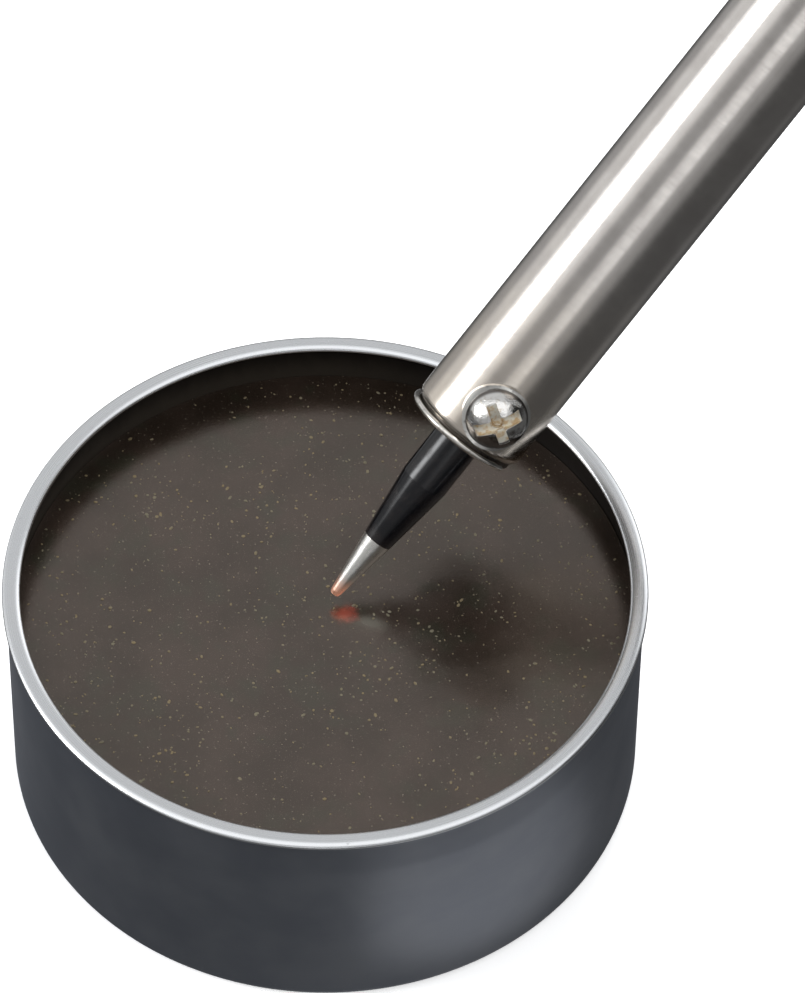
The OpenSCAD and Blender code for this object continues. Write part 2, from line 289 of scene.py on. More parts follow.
PANELS = [
    # azimuth, elevation, tilt, half width, half height, soft edge, brightness
    (180, 78, 0, 48, 22, 7, 0.75),
    (-93, 31, 0, 10, 11, 6, 8.5),
    (-88, 32, 0, 14, 13, 12, 1.2),
    (-38, -12, 0, 17, 15, 12, 0.30),
    (-58, 8, 0, 16, 10, 12, 0.20),
    (-177, 26, 45, 4, 12, 4, 1.0),
    (46, 20, 0, 15, 19, 6, 0.95),
]
BLACK_CARD = (84, 18, 0, 30, 27, 10)
BLACK_CARD_KEEPS = 0.06
ROOM_TOP = 0.34
ROOM_BACK = 0.24
ROOM_BELOW = 0.082
GLOW_BELOW = 0.20
BACKGROUND = (1.0, 1.0, 1.0)


def light_room():
    """The world: a room for reflections and light, and a plain white backdrop for the camera."""
    world = bpy.data.worlds.new("studio")
    bpy.context.scene.world = world
    sheet = Sheet(world)
    direction = sheet.node("ShaderNodeTexCoord", output=0)
    height = sheet.vector("DOT_PRODUCT", direction, (0, 0, 1), output=1)
    to_back = sheet.vector("DOT_PRODUCT", direction, (0, 1, 0), output=1)
    above = height.step(-0.12, 0.12)
    level = above * (ROOM_TOP - ROOM_BELOW) + ROOM_BELOW
    level = level + above * to_back.step(-0.1, 0.6) * ROOM_BACK
    spill = sheet.vector("DOT_PRODUCT", direction, tuple(heading(125, -76)), output=1)
    level = level + spill.step(0.86, 0.99) * GLOW_BELOW
    level = level * (1 - light_panel(sheet, direction, *BLACK_CARD) * (1 - BLACK_CARD_KEEPS))
    for *placing, brightness in PANELS:
        level = level + light_panel(sheet, direction, *placing) * brightness
    room = sheet.node("ShaderNodeBackground", inputs={"Color": (0.97, 0.985, 1.0, 1), "Strength": level})
    plain = sheet.node("ShaderNodeBackground", inputs={"Color": (*BACKGROUND, 1), "Strength": 1.0})
    seen = sheet.node("ShaderNodeLightPath", output=0)
    both = sheet.node("ShaderNodeMixShader", inputs={0: seen, 1: room, 2: plain})
    output = sheet.tree.nodes.new("ShaderNodeOutputWorld")
    sheet.tree.links.new(both.socket, output.inputs[0])


def add_lamp(name, azimuth, elevation, distance, size, watts):
    """A square soft lamp that faces the tin and doesn't show in the metal."""
    data = bpy.data.lights.new(name, "AREA")
    data.size = size
    data.energy = watts
    lamp = bpy.data.objects.new(name, data)
    bpy.context.scene.collection.objects.link(lamp)
    lamp.location = heading(azimuth, elevation) * distance
    lamp.rotation_mode = "QUATERNION"
    lamp.rotation_quaternion = lamp.location.to_track_quat("Z", "Y")
    lamp.visible_glossy = False


def lay_card(name, centre, size, turn, watts):
    """A faint upturned card of light, close to the object, that only its metal shows. Sizes in mm."""
    data = bpy.data.lights.new(name, "AREA")
    data.shape = "RECTANGLE"
    data.size, data.size_y = size[0] * MM, size[1] * MM
    data.energy = watts
    card = bpy.data.objects.new(name, data)
    bpy.context.scene.collection.objects.link(card)
    card.location = Vector(centre) * MM
    card.rotation_euler = (math.pi, 0, math.radians(turn))
    card.visible_camera = False


light_room()
add_lamp("back_lamp", 8, 58, 1.2, 0.42, 8)
add_lamp("front_lamp", 165, 50, 1.6, 0.9, 7.5)
lay_card("wall_card", (22, -28.5, 0.15), (16, 33), -55, 4.8e-4)
bpy.context.scene.view_settings.view_transform = "Standard"
print("panels:", len(PANELS))

# %% The pale floor
FLOOR_HALF = 12.0


def lay_floor():
    """A large pale sheet just under the tin, which keeps out of the reflections."""
    bm = bmesh.new()
    bmesh.ops.create_grid(bm, x_segments=8, y_segments=8, size=FLOOR_HALF)
    mesh = bpy.data.meshes.new("floor")
    bm.to_mesh(mesh)
    bm.free()
    floor = bpy.data.objects.new("floor", mesh)
    bpy.context.scene.collection.objects.link(floor)
    material, sheet = new_sheet("pale_floor")
    sheet.surface(Base_Color=(0.86, 0.86, 0.86), Roughness=0.9, Specular_IOR_Level=0.1,
                  Emission_Color=(1, 1, 1), Emission_Strength=0.42)
    mesh.materials.append(material)
    floor.visible_glossy = False


lay_floor()
print("floor laid")

# %% [markdown]
# ## Turned parts
# Nearly every piece here is round. On the bench it is turned or drawn, and in Blender it is an outline that
# spins around an axis. Real edges are never sharp, so the outline takes a radius at each corner: a highlight
# then runs along the edge, as it does on the real thing. One function rounds the outline and another spins
# it, merges the seam, and points the faces outwards.

# %% Outlines and spinning


def rounded(corners, segments=5, closed=True):
    """An outline of (radius, height, fillet) corners, in mm, with an arc in place of each filleted corner."""
    outline = []
    count = len(corners)
    for index, (r, z, fillet) in enumerate(corners):
        here = Vector((r, z))
        at_end = not closed and index in (0, count - 1)
        if fillet <= 0 or at_end:
            outline.append(here)
            continue
        before = Vector(corners[index - 1][:2]) - here
        after = Vector(corners[(index + 1) % count][:2]) - here
        half = before.angle(after) / 2
        reach = min(fillet / math.tan(half), 0.49 * before.length, 0.49 * after.length)
        radius = reach * math.tan(half)
        centre = here + (before.normalized() + after.normalized()).normalized() * (radius / math.sin(half))
        first = here + before.normalized() * reach - centre
        last = here + after.normalized() * reach - centre
        swing = first.angle_signed(last)
        for step in range(segments + 1):
            angle = -swing * step / segments
            turned = Matrix.Rotation(angle, 2) @ first
            outline.append(centre + turned)
    return [(max(point.x, 0.0), point.y) for point in outline]


def arc(centre_r, centre_z, radius, from_degrees, to_degrees, segments, flat=1.0):
    """Points of an arc in an outline, in mm, pressed to a share of its height where flat is below 1."""
    points = []
    for step in range(segments + 1):
        angle = math.radians(from_degrees + (to_degrees - from_degrees) * step / segments)
        points.append((centre_r + radius * math.cos(angle), centre_z + flat * radius * math.sin(angle)))
    return points


def spun(outline, steps=160, closed=True):
    """A bmesh of an outline spun once around Z, in metres. An open outline starts and ends on the axis."""
    bm = bmesh.new()
    verts = [bm.verts.new((r * MM, 0, z * MM)) for r, z in outline]
    pairs = list(zip(verts, verts[1:]))
    if closed:
        pairs.append((verts[-1], verts[0]))
    edges = [bm.edges.new(pair) for pair in pairs]
    bmesh.ops.spin(bm, geom=verts + edges, cent=(0, 0, 0), axis=(0, 0, 1), angle=2 * math.pi,
                   steps=steps, use_merge=True, use_duplicate=False)
    bmesh.ops.remove_doubles(bm, verts=bm.verts, dist=1e-7)
    bmesh.ops.recalc_face_normals(bm, faces=bm.faces)
    return bm


def finished(bm, name, body, materials, replaces=(), place=None, sharp=32):
    """Turns a bmesh into a piece: puts it in place, smooths it, and ties it to its body and its finish."""
    if place is not None:
        bm.transform(place)
    mesh = bpy.data.meshes.new(name)
    bm.to_mesh(mesh)
    bm.free()
    mesh.shade_smooth()
    mesh.set_sharp_from_angle(angle=math.radians(sharp))
    for material in materials:
        mesh.materials.append(material)
    piece = bpy.data.objects.new(name, mesh)
    bpy.context.scene.collection.objects.link(piece)
    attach(piece, body)
    if replaces:
        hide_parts(*replaces)
    print(name, "has", len(mesh.polygons), "faces")
    return piece


# %% [markdown]
# ## The tin
# A shallow tin is pressed from one disc of aluminium. The press draws the wall up, and a second tool curls
# the edge outwards into a flattened bead, and polishes it brighter than the wall. Outside, the wall has a
# satin blue-grey finish. Inside it has a thin dark lacquer that the compound has stained, and painted shade
# makes it nearly black, darkest towards the compound and lighter at the back left as its lit side. The outline
# below follows the sheet: the recessed base, the rounded corner, the wall, once round the bead, and down inside.

# %% Finishes of the tin


def satin_wall():
    """Blue-grey satin: fine lines left by drawing, a soft mottle, and a few bare scuffs at the base."""
    material, sheet = new_sheet("satin_wall")
    point = sheet.place()
    stretched = sheet.vector("MULTIPLY", point, (0.05, 0.05, 9.0))
    lines = sheet.noise(stretched, 1.6, 3, 0.6)
    mottle = sheet.noise(point, 0.12, 3, 0.55)
    grain = sheet.noise(point, 14.0, 2, 0.6)
    z = sheet.within(Matrix.Identity(4))[2]
    scuff_noise = sheet.noise(sheet.vector("MULTIPLY", point, (1.0, 1.0, 3.0)), 0.9, 4, 0.65)
    scuffs = scuff_noise.step(0.60, 0.70) * z.step(2.2, 0.3)
    colour = sheet.mix((0.31, 0.33, 0.38), (0.37, 0.387, 0.43), mottle.step(0.3, 0.7))
    colour = sheet.mix(colour, (0.62, 0.63, 0.65), scuffs * 0.6)
    roughness = 0.48 + (lines - 0.5) * 0.10 + (mottle - 0.5) * 0.08 - scuffs * 0.1
    normal = sheet.bump(lines * 0.7 + grain * 0.5, 0.004)
    sheet.surface(Base_Color=colour, Metallic=1.0, Roughness=roughness, Normal=normal)
    return material


def polished_rim():
    """Bare bright aluminium with fine turned lines and a few small nicks."""
    material, sheet = new_sheet("polished_rim")
    x, y, z = sheet.within(Matrix.Identity(4))
    radius = sheet.maths("SQRT", x * x + y * y)
    around = sheet.maths("ARCTAN2", y, x)
    lines = sheet.noise(sheet.join(radius * 5.0, z * 5.0, around * 0.8), 3.0, 3, 0.6)
    nicks = sheet.noise(sheet.place(), 2.6, 2, 0.5).step(0.70, 0.78)
    colour = sheet.mix((0.86, 0.87, 0.885), (0.70, 0.71, 0.725), nicks)
    roughness = 0.20 + lines * 0.14 + nicks * 0.12
    normal = sheet.bump(lines - nicks * 0.8, 0.003)
    sheet.surface(Base_Color=colour, Metallic=1.0, Roughness=roughness, Normal=normal)
    return material


def stained_and_shaded_inside():
    """Dark lacquer with fumes and splashes of compound on it, painted nearly black as shade: darkest towards the
    compound, lighter at the back left.
    """
    material, sheet = new_sheet("stained_and_shaded_inside")
    point = sheet.place()
    x, y, z = sheet.within(Matrix.Identity(4))
    stain = sheet.noise(sheet.vector("MULTIPLY", point, (1, 1, 0.4)), 0.8, 4, 0.6)
    # Painted shade: the inside wall is nearly black, and darker still towards the compound.
    shade_toward_compound = (z + stain * 1.6).step(21.4, 17.8)
    colour = sheet.mix((0.0075, 0.006, 0.005), (0.0045, 0.0036, 0.003), shade_toward_compound)
    # Painted light: a lighter brown film only on the back left, the wall's lit side.
    film = shade_toward_compound * (y - x * 0.9).step(4, 26)
    colour = sheet.mix(colour, (0.034, 0.028, 0.022), film)
    roughness = 0.26 + stain * 0.16
    normal = sheet.bump(stain, 0.01)
    sheet.surface(Base_Color=colour, Roughness=roughness, Normal=normal, Specular_IOR_Level=0.06)
    return material


# %% The pressed tin
WALL_R = TIN_R / MM - 0.3
NECK_R = WALL_R - 0.2
WALL = 0.4
BEAD_R = 0.72
BEAD_H = 0.34
BEAD_CENTRE = (TIN_R / MM - BEAD_R, tin_high.z / MM - BEAD_H)
NECK_Z = BEAD_CENTRE[1] - 1.2
BASE_PANEL_R = 21.6
BASE_PANEL_RISE = 0.3


def tin_outline():
    """The tin's section, from the middle of the base, up the outside and back down the inside."""
    r, z = BEAD_CENTRE
    under = -math.degrees(math.acos((NECK_R - r) / BEAD_R))
    inner = 360 - math.degrees(math.acos((NECK_R - WALL - r) / BEAD_R))
    base = [(0, BASE_PANEL_RISE, 0), (BASE_PANEL_R, BASE_PANEL_RISE, 0.2), (BASE_PANEL_R + 0.4, 0, 0.2),
            (WALL_R, 0, 1.0), (WALL_R, 6, 0)]
    neck = [(WALL_R, 12, 0), (WALL_R, NECK_Z - 2.6, 14), (NECK_R, NECK_Z + 0.3, 8),
            (NECK_R, z - 0.97 * BEAD_H, 0)]
    bead = arc(r, z, BEAD_R, under, inner, 40, BEAD_H / BEAD_R)
    floor_z = BASE_PANEL_RISE + WALL
    inner_neck = [(r - WALL, height, fillet) for r, height, fillet in reversed(neck[1:3])]
    inside = inner_neck + [(WALL_R - WALL, 12, 0), (WALL_R - WALL, floor_z, 0.8), (0, floor_z, 0)]
    return (rounded(base, 10, closed=False) + rounded(neck, 6, closed=False) + bead
            + rounded(inside, 10, closed=False))


def make_tin():
    bm = spun(tin_outline(), 256, closed=False)
    bead_bottom = (BEAD_CENTRE[1] - BEAD_H * 0.75) * MM
    for face in bm.faces:
        middle = face.calc_center_median()
        if middle.z > bead_bottom:
            face.material_index = 1
        elif face.normal.xy.dot(middle.xy) < -1e-6 or (face.normal.z > 0.5 and middle.z > 0.2 * MM):
            face.material_index = 2
    return finished(bm, "tin_body", "tin", [satin_wall(), polished_rim(), stained_and_shaded_inside()],
                    ["tin_can"])


make_tin()

# %% [markdown]
# ## The compound
# Tinning compound is solder powder pressed with salts into a hard, dark cake. It is not dull: it was melted
# at the surface many times and set again, so it has a faint sheen and slow ripples, it climbs a little at
# the wall, and grains of bright solder are frozen in it. The surface is a spun disc whose points are then
# lifted by a formula, and the larger grains are real flattened chips, because a pattern alone would be lost
# when the surface is seen close up. The red spot under the tip is a painted glow, the hot tip's light on the
# crust, and the pale streak beside it is a painted reflection of the tip's cone. Both are painted into the
# crust's colour, so they stay on the crust when the iron is lifted.

# %% Finishes of the compound
COMPOUND_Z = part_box("tinning_compound")[1].z / MM
TIP_SPOT = Vector((1.75, 0.25))
TIP_GLOW_R = 1.0
CONE_REFLECTION_TURN = math.radians(-24)
SPECKS = [
    # pattern scale, speck size, share left bare, strength, shift of the pattern
    (1.3, 0.14, 0.5, 0.34, 0),
    (2.3, 0.15, 0.5, 0.24, 40),
]


def compound_crust():
    """Dark brown-grey crust with faint cloudy patches, fine pale dust, a painted red glow under the tip and a
    painted reflection of the cone beside it.
    """
    material, sheet = new_sheet("compound_crust")
    point = sheet.place()
    x, y = sheet.within(Matrix.Identity(4))[:2]
    clouds = sheet.noise(point, 0.16, 4, 0.6)
    patches = sheet.noise(sheet.vector("ADD", point, (31, 7, 0)), 0.33, 2, 0.5)
    grain = sheet.noise(point, 6.0, 3, 0.65)
    colour = sheet.mix((0.013, 0.0085, 0.0055), (0.023, 0.0150, 0.0110), clouds.step(0.35, 0.65))
    colour = sheet.mix(colour, (0.014, 0.0145, 0.0085), patches.step(0.5, 0.7) * 0.7)
    colour = sheet.mix(colour, (0.040, 0.032, 0.026), grain.step(0.55, 0.75) * 0.35)
    for scale, radius, share, strength, shift in SPECKS:
        flat = sheet.join(x + shift, y - shift, 0.0)
        inputs = {"Vector": flat, "Scale": scale}
        settings = {"voronoi_dimensions": "2D"}
        distance = sheet.node("ShaderNodeTexVoronoi", settings, inputs)
        chance = sheet.node("ShaderNodeTexVoronoi", settings, inputs, output=1)
        channels = sheet.tree.nodes.new("ShaderNodeSeparateColor")
        sheet.tree.links.new(chance.socket, channels.inputs[0])
        kept = Wire(sheet, channels.outputs[0]).step(share, share + 0.05)
        size = Wire(sheet, channels.outputs[1]) * 0.6 + 0.4
        speck = (distance / size).step(radius, radius * 0.25) * kept * strength
        colour = sheet.mix(colour, (0.20, 0.175, 0.13), speck)
    # Painted glow: a red spot under the tip stands for the hot tip's light on the crust, though the crust is no
    # lamp.
    off_x, off_y = x - TIP_SPOT.x, y - TIP_SPOT.y
    away = sheet.maths("SQRT", off_x * off_x * 0.8 + off_y * off_y * 1.3)
    ragged = sheet.noise(point, 1.5, 3, 0.6)
    tip_glow_spot = (away + (ragged - 0.5) * 1.6).step(TIP_GLOW_R * 1.35, TIP_GLOW_R * 0.1)
    # Painted reflection: a pale streak beside the red spot stands for the tip's cone mirrored in the crust.
    along = off_x * math.cos(CONE_REFLECTION_TURN) + off_y * math.sin(CONE_REFLECTION_TURN)
    across = off_y * math.cos(CONE_REFLECTION_TURN) - off_x * math.sin(CONE_REFLECTION_TURN)
    cone_reflection = sheet.maths("ABSOLUTE", across + (ragged - 0.5) * 0.7).step(0.95, 0.0)
    cone_reflection = cone_reflection * along.step(0.7, 1.6) * along.step(4.2, 2.2)
    colour = sheet.mix(colour, (0.070, 0.069, 0.056), cone_reflection * 0.7)
    colour = sheet.mix(colour, (0.14, 0.030, 0.020), tip_glow_spot * 0.85)
    glow = sheet.mix((0, 0, 0), (1.0, 0.17, 0.12), tip_glow_spot)
    roughness = 0.19 + grain * 0.06 + (clouds - 0.5) * 0.06 - tip_glow_spot * 0.06
    normal = sheet.bump(grain, 0.006)
    sheet.surface(Base_Color=colour, Roughness=roughness, Normal=normal, IOR=2.0,
                  Specular_Tint=(1.0, 0.885, 0.80, 1),
                  Emission_Color=glow, Emission_Strength=0.07)
    return material


def solder_grain():
    """Pale, slightly golden metal of the chips in the crust, each chip a little different."""
    material, sheet = new_sheet("solder_grain")
    tint = sheet.noise(sheet.place(), 0.9, 1, 0.5).step(0.35, 0.65)
    colour = sheet.mix((0.135, 0.120, 0.082), (0.165, 0.128, 0.070), tint)
    sheet.surface(Base_Color=colour, Metallic=0.25, Roughness=0.5 + tint * 0.1)
    return material


# %% The cake and its grains
CAKE_R = WALL_R - WALL - 0.05
EDGE_RINGS_FROM = 22.6
EDGE_RINGS = 14
GRAINS = 1150
GRAIN_MEDIAN_R = 0.065
GRAIN_LARGEST_R = 0.19


def cake_height(x, y):
    """Height of the crust above its nominal level at a point, in mm."""
    radius = math.hypot(x, y)
    climb = 0.03 * math.exp(-(CAKE_R - radius) / 0.35)
    ripple = 0.05 * noise.noise(Vector((x * 0.11, y * 0.11, 3.0)))
    ripple += 0.015 * noise.noise(Vector((x * 0.5, y * 0.5, 9.0)))
    from_tip_spot = math.hypot((x - TIP_SPOT.x) * 0.8, (y - TIP_SPOT.y) * 1.2)
    dip = -0.012 * math.exp(-(from_tip_spot / 1.6) ** 2)
    return climb + ripple + dip


def make_cake():
    rings = [0.25 * step for step in range(1, 21)] + [5 + 0.55 * step for step in range(1, 33)]
    rings += [EDGE_RINGS_FROM + (CAKE_R - EDGE_RINGS_FROM) * (1 - (1 - step / EDGE_RINGS) ** 2)
              for step in range(1, EDGE_RINGS + 1)]
    top = [(0, COMPOUND_Z)] + [(r, COMPOUND_Z) for r in rings]
    floor_z = BASE_PANEL_RISE + WALL + 0.05
    side = [(CAKE_R, 12, 0), (CAKE_R, floor_z, 1.2), (0, floor_z, 0)]
    bm = spun(top + rounded(side, 6, closed=False), 200, closed=False)
    for vert in bm.verts:
        if vert.co.z > (COMPOUND_Z - 0.01) * MM:
            vert.co.z += cake_height(vert.co.x / MM, vert.co.y / MM) * MM
    return finished(bm, "compound_cake", "tin", [compound_crust()], ["tinning_compound"])


def make_grains():
    """Flattened chips of solder, set into the crust. They crowd in some places and leave others bare."""
    bm = bmesh.new()
    chance = random.Random(7)
    made = 0
    while made < GRAINS:
        angle = chance.uniform(0, 2 * math.pi)
        radius = (CAKE_R - 0.6) * math.sqrt(chance.random())
        x, y = radius * math.cos(angle), radius * math.sin(angle)
        crowd = 0.5 + 0.9 * noise.noise(Vector((x * 0.13, y * 0.13, 5.0)))
        size = min(GRAIN_MEDIAN_R * math.exp(chance.gauss(0.35, 0.40)), GRAIN_LARGEST_R)
        spin, lean = chance.uniform(0, 2 * math.pi), chance.uniform(-0.35, 0.35)
        stretch = chance.uniform(0.7, 1.3)
        if chance.random() > crowd:
            continue
        chip = bmesh.ops.create_icosphere(bm, subdivisions=1, radius=size * MM)["verts"]
        shape = Matrix.Diagonal((stretch, 1 / stretch, 0.55, 1))
        place = Matrix.Translation(Vector((x, y, COMPOUND_Z + cake_height(x, y) - 0.1 * size)) * MM)
        turn = Matrix.Rotation(spin, 4, "Z") @ Matrix.Rotation(lean, 4, "X")
        bmesh.ops.transform(bm, matrix=place @ turn @ shape, verts=chip)
        made += 1
    return finished(bm, "compound_grains", "tin", [solder_grain()])


make_cake()
make_grains()

# %% [markdown]
# ## The tip
# The tip is a copper rod under thin platings. Its working cone is wetted with solder and stays bright silver,
# with a coppery flush at the very end where it is hottest, and a painted red-orange glow on that end. The
# shank wears glossy black chromium, which keeps solder off it. Inside the heater the plating ends and scaled
# metal shows. The outline has a step of two hundredths of a millimetre where the black starts, and the three
# finishes meet on outline points.

# %% Finishes of the tip


def wetted_solder():
    """Bright solder over the cone, uneven like a set drop, copper-coloured at the end, with a painted glow there.
    """
    material, sheet = new_sheet("wetted_solder")
    x, y, station = sheet.within(IRON)
    runs = sheet.noise(sheet.join(x * 2.2, y * 2.2, station * 0.5), 1.6, 3, 0.55)
    copper_end_and_glow = (station + (runs - 0.5) * 0.8).step(2.2, 0.3)
    colour = sheet.mix((0.95, 0.93, 0.88), (0.76, 0.75, 0.69), runs.step(0.45, 0.8))
    colour = sheet.mix(colour, (0.95, 0.62, 0.48), copper_end_and_glow)
    # Painted glow: the end gives off red-orange light, though it is no lamp.
    glow = sheet.mix((0, 0, 0), (1.0, 0.42, 0.25), copper_end_and_glow)
    roughness = 0.22 + runs * 0.14
    normal = sheet.bump(runs, 0.02)
    sheet.surface(Base_Color=colour, Metallic=1.0, Roughness=roughness, Normal=normal,
                  Emission_Color=glow, Emission_Strength=0.22)
    return material


def black_chromium():
    """Glossy black plating with faint turning lines and a bloom of heat next to the solder."""
    material, sheet = new_sheet("black_chromium")
    x, y, station = sheet.within(IRON)
    lines = sheet.noise(sheet.join(x * 0.2, y * 0.2, station * 9.0), 1.4, 2, 0.6)
    smears = sheet.noise(sheet.join(x, y, station * 0.6), 1.1, 4, 0.6)
    bloom = (station + smears).step(7.6, 5.9)
    colour = sheet.mix((0.003, 0.003, 0.004), (0.009, 0.007, 0.007), smears.step(0.45, 0.75))
    colour = sheet.mix(colour, (0.018, 0.013, 0.012), bloom * 0.5)
    roughness = 0.14 + lines * 0.06 + smears.step(0.45, 0.75) * 0.12 + bloom * 0.08
    normal = sheet.bump(lines, 0.002)
    sheet.surface(Base_Color=colour, Roughness=roughness, Normal=normal, IOR=1.5)
    return material


def scaled_copper():
    """The hidden end of the shank: brown scale over copper."""
    material, sheet = new_sheet("scaled_copper")
    scale = sheet.noise(sheet.place(), 1.3, 4, 0.6)
    colour = sheet.mix((0.22, 0.12, 0.08), (0.08, 0.06, 0.055), scale.step(0.4, 0.6))
    sheet.surface(Base_Color=colour, Metallic=0.6, Roughness=0.45 + scale * 0.3)
    return material


# %% The turned tip
TINNED_END = 5.8
TAPER_END = 12.0
PLATING_END = 24.0
TIP_LENGTH = 62.0
TIP_R = 2.0


def tip_outline():
    """From the blunt end, along the cone and the taper, to the far end of the shank."""
    front = [(0, 0.0, 0), (0.36, 0.0, 0.15), (0.48, 0.34, 0.2), (1.21, TINNED_END - 0.12, 0.3),
             (1.22, TINNED_END, 0.02)]
    back = [(1.24, TINNED_END + 0.02, 0.02), (TIP_R, TAPER_END, 0.8), (TIP_R, PLATING_END, 0.02),
            (TIP_R - 0.01, PLATING_END + 0.02, 0.01), (TIP_R - 0.01, TIP_LENGTH, 0.3), (0, TIP_LENGTH, 0)]
    return rounded(front + back, 4, closed=False)


def make_tip():
    bm = spun(tip_outline(), 96, closed=False)
    for face in bm.faces:
        station = face.calc_center_median().z / MM
        face.material_index = 0 if station < TINNED_END + 0.005 else 1 if station < PLATING_END else 2
    return finished(bm, "tip_body", "tip", [wetted_solder(), black_chromium(), scaled_copper()],
                    ["tip"], IRON, 50)


make_tip()

# %% [markdown]
# ## The barrel and its nose
# The barrel is a drawn stainless tube, polished and then brushed around with a fine belt. The brushing is
# what makes the long highlights soft along the tube and keeps them crisp across it. The tube, the plug, the
# ring and the washer are already true to shape, so they keep their meshes and only get a finish: lines that
# run round the axis, a soft mottle, and a straw-coloured flush of heat near the front. Painted shade darkens
# the tube's underside near the front and its front edge, and the plug's near-black tone is painted shade
# for the gap between the ring and the barrel.

# %% Finishes of the barrel


def brushed_barrel():
    """Stainless tube: fine brushed lines around it, a straw flush from the heater, and painted shade on the
    underside near the front and on the front edge.
    """
    material, sheet = new_sheet("brushed_barrel")
    x, y, station = sheet.within(IRON)
    fine = sheet.noise(sheet.join(x * 0.25, y * 0.25, station * 14.0), 1.0, 3, 0.65)
    broad = sheet.noise(sheet.join(x * 0.12, y * 0.12, station * 1.6), 1.0, 3, 0.6)
    mottle = sheet.noise(sheet.place(), 0.35, 3, 0.55)
    straw = (station + mottle * 14).step(46, 20)
    colour = sheet.mix((0.76, 0.715, 0.675), (0.68, 0.635, 0.60), mottle.step(0.3, 0.7))
    colour = sheet.mix(colour, (0.79, 0.685, 0.555), straw * 0.6)
    colour = sheet.mix(colour, (0.50, 0.47, 0.445), fine.step(0.62, 0.8) * 0.35)
    # Painted shade: the underside near the front is darkened.
    underside_shade = (x + (mottle - 0.5) * 4).step(1.6, 4.6) * station.step(25, 18.5)
    colour = sheet.mix(colour, (0.17, 0.15, 0.13), underside_shade * 0.75)
    # Painted shade: the front edge by the ring is darkened as the shade of the gap.
    front_edge_shade = station.step(18.35, 17.9)
    colour = sheet.mix(colour, (0.12, 0.105, 0.09), front_edge_shade * 0.7)
    roughness = 0.19 + (fine - 0.5) * 0.16 + (broad - 0.5) * 0.12 + (mottle - 0.5) * 0.05
    normal = sheet.bump(fine + broad * 0.6, 0.0022)
    sheet.surface(Base_Color=colour, Metallic=1.0, Roughness=roughness, Normal=normal)
    return material


def bright_steel(name, tone, roughness):
    """Turned steel of the plug and ring in the given tone, with random patches of soot. The plug's dark tone is
    painted shade.
    """
    material, sheet = new_sheet(name)
    point = sheet.place()
    soot = sheet.noise(point, 1.4, 4, 0.6)
    grain = sheet.noise(point, 9.0, 2, 0.5)
    colour = sheet.mix(tone, tuple(0.45 * part for part in tone), soot.step(0.52, 0.72))
    normal = sheet.bump(grain, 0.003)
    sheet.surface(Base_Color=colour, Metallic=1.0, Roughness=roughness + soot * 0.15, Normal=normal)
    return material


def finish_nodes(names, material):
    """Gives existing parts a finish and leaves their meshes alone."""
    for name in names:
        part = frame["nodes"][name]
        for part_slot in part.material_slots:
            part_slot.material = material
    print(material.name, "on", ", ".join(names))


finish_nodes(["barrel"], brushed_barrel())
finish_nodes(["nose_ring"], bright_steel("ring_steel", (0.86, 0.82, 0.76), 0.10))
# Painted shade: the plug's near-black tone stands for the shade in the gap between the ring and the barrel.
finish_nodes(["nose_plug"], bright_steel("plug_steel_dark_as_shade", (0.13, 0.115, 0.10), 0.34))

# %% [markdown]
# ## The tip screw
# A domed screw with a cross and a slot clamps the tip. Its head is small but it catches every light, so
# its edges matter most. The head is spun, the recess is cut out of it with a Boolean, and a small bevel
# then breaks every edge that the cut left, as tumbling does in the factory.

# %% Finishes of the screw
EDGE_BREAK = 0.12
SHARP_CUT = math.radians(40)
SCREW_SEAT = 5.39
HEAD_R = 2.5
HEAD_H = 1.75
DOME_R = 2.62
SHANK_R = 1.25
RECESS_TURN = math.radians(17)


def bright_nickel():
    """Bright plating, nearly a mirror, with a golden film in the recess, and painted shade at the foot of the head
    and on its lower side.
    """
    material, sheet = new_sheet("bright_nickel")
    x, y, out = sheet.within(SCREW)
    film = sheet.noise(sheet.place(), 2.3, 4, 0.6)
    from_axis = x * x + y * y
    dome_centre = SCREW_SEAT + HEAD_H - DOME_R
    below_dome = sheet.maths("SQRT", DOME_R ** 2 - from_axis) + dome_centre - out
    low = below_dome.step(0.05, 0.2) * from_axis.step(6.0, 5.2)
    # Painted shade: the side of the head next to the washer is darkened.
    foot_shade = out.step(6.0, 5.6) * from_axis.step(5.0, 5.9)
    colour = sheet.mix((0.90, 0.88, 0.85), (0.66, 0.60, 0.52), film.step(0.5, 0.75))
    golden = sheet.mix((0.95, 0.90, 0.78), (0.72, 0.53, 0.31), film.step(0.42, 0.62))
    colour = sheet.mix(colour, golden, low)
    colour = sheet.mix(colour, (0.07, 0.055, 0.045), foot_shade * 0.85)
    # Painted shade: the lower side of the dome is darkened.
    underside_shade = (x + (film - 0.5) * 1.6).step(0.1, 1.5) * (1 - low)
    colour = sheet.mix(colour, (0.06, 0.05, 0.042), underside_shade * 0.9)
    roughness = 0.06 + film * 0.08 + low * 0.34
    normal = sheet.bump(film, 0.05)
    sheet.surface(Base_Color=colour, Metallic=1.0, Roughness=roughness, Normal=normal)
    return material


def worn_edge():
    """The broken edges of the recess, rubbed bright by the screwdriver."""
    material, sheet = new_sheet("worn_edge")
    wear = sheet.noise(sheet.place(), 3.1, 3, 0.6)
    colour = sheet.mix((0.95, 0.93, 0.90), (0.72, 0.66, 0.58), wear.step(0.45, 0.7))
    sheet.surface(Base_Color=colour, Metallic=1.0, Roughness=0.42 + wear * 0.2)
    return material


# %% The screw and its recess


